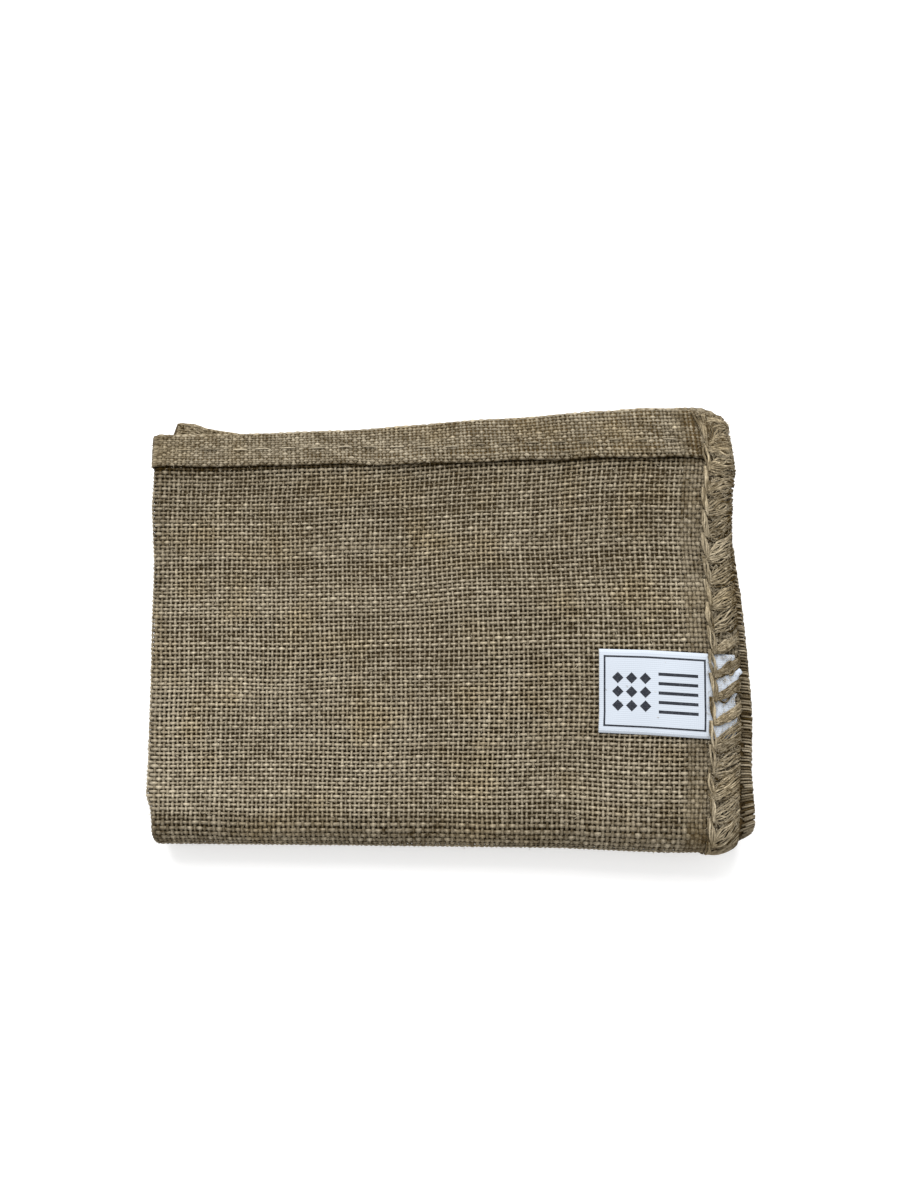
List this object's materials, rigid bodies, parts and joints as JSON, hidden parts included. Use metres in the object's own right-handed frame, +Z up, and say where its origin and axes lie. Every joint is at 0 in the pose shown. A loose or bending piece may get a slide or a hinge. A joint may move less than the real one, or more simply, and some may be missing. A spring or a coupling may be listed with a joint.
{
  "type": "jute sack",
  "caption": "Hemmed hessian sack folded flat into a packet, with overedge twine seams along one side and a small woven tab label.",
  "frame": {"origin": "centre of the packet's bounding box on its flat underside", "axes": "+X from the lengthwise fold towards the overedge seams, +Y from the nearest crosswise folds towards the open mouth, +Z up out of the surface the packet lies on"},
  "size_m": [0.292, 0.2144, 0.0325],
  "materials": {
    "jute_cloth": "matte",
    "jute_twine": "matte",
    "jute_twine_under": "matte",
    "white_tape": "satin"
  },
  "bodies": {
    "root": {"sack_cloth": "jute_cloth", "seam_twine_upper": "jute_twine", "seam_twine_lower": "jute_twine_under", "label": "white_tape"}
  },
  "joints": []
}
